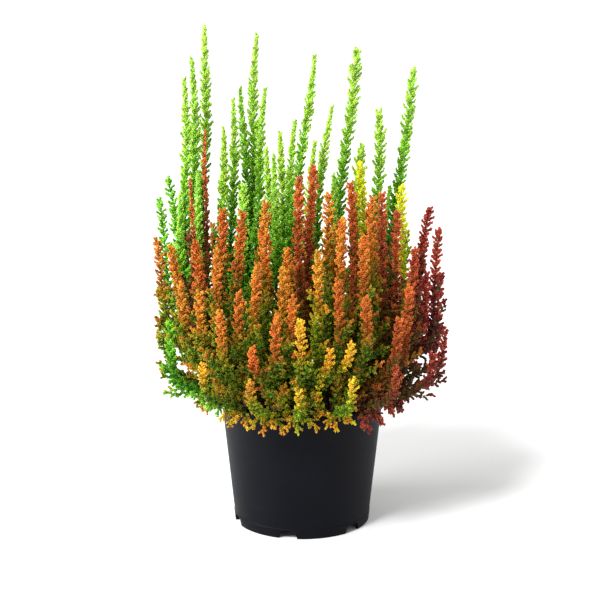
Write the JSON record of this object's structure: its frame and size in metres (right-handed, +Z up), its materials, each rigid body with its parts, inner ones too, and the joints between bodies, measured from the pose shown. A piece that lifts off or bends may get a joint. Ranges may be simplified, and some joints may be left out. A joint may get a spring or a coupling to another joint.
{
  "type": "potted heather",
  "caption": "Mixed foliage heathers in a round tapered nursery pot: tall green spikes behind shorter orange, red and yellow ones, with low sprigs over the rim.",
  "frame": {"origin": "middle of the pot's foot, on the surface that it stands on", "axes": "+Z up; -Y is the front, where the shortest spikes stand; +X is to the right of someone facing the front"},
  "size_m": [0.2714, 0.2576, 0.458],
  "materials": {
    "pot": "matt black moulded plastic",
    "soil": "loose dark peat",
    "green_foliage": "tiny bright green scale leaves",
    "orange_foliage": "tiny orange scale leaves over green",
    "red_foliage": "tiny dark red scale leaves",
    "gold_foliage": "tiny yellow scale leaves"
  },
  "bodies": {
    "root": {"pot": "pot", "soil": "soil", "green_spray_01": "green_foliage", "green_spray_02": "green_foliage", "green_spray_03": "green_foliage", "green_spray_04": "green_foliage", "green_spray_05": "green_foliage", "green_spray_06": "green_foliage", "green_spray_07": "green_foliage", "green_spray_08": "green_foliage", "green_spray_09": "green_foliage", "green_spray_10": "green_foliage", "green_spray_11": "green_foliage", "green_spray_12": "green_foliage", "green_spray_13": "green_foliage", "green_spray_14": "green_foliage", "green_spray_15": "green_foliage", "green_spray_16": "green_foliage", "red_spray_01": "red_foliage", "orange_spray_01": "orange_foliage", "orange_spray_02": "orange_foliage", "red_spray_02": "red_foliage", "red_spray_03": "red_foliage", "orange_spray_03": "orange_foliage", "gold_spray_01": "gold_foliage", "red_spray_04": "red_foliage", "gold_spray_02": "gold_foliage", "red_spray_05": "red_foliage", "orange_spray_04": "orange_foliage", "orange_spray_05": "orange_foliage", "orange_spray_06": "orange_foliage", "red_spray_06": "red_foliage", "orange_spray_07": "orange_foliage", "orange_spray_08": "orange_foliage", "red_spray_07": "red_foliage", "red_spray_08": "red_foliage", "orange_spray_09": "orange_foliage", "orange_spray_10": "orange_foliage", "orange_spray_11": "orange_foliage", "orange_spray_12": "orange_foliage", "gold_spray_03": "gold_foliage", "orange_spray_13": "orange_foliage", "red_spray_09": "red_foliage", "gold_rim_spray_01": "gold_foliage", "gold_rim_spray_02": "gold_foliage", "red_rim_spray_01": "red_foliage", "red_rim_spray_02": "red_foliage", "red_rim_spray_03": "red_foliage", "red_rim_spray_04": "red_foliage", "red_rim_spray_05": "red_foliage", "green_rim_spray_01": "green_foliage", "green_rim_spray_02": "green_foliage", "green_rim_spray_03": "green_foliage", "orange_rim_spray_01": "orange_foliage", "green_rim_spray_04": "green_foliage", "green_rim_spray_05": "green_foliage", "orange_rim_spray_02": "orange_foliage", "green_rim_spray_06": "green_foliage", "gold_rim_spray_03": "gold_foliage", "orange_rim_spray_03": "orange_foliage"}
  },
  "joints": []
}
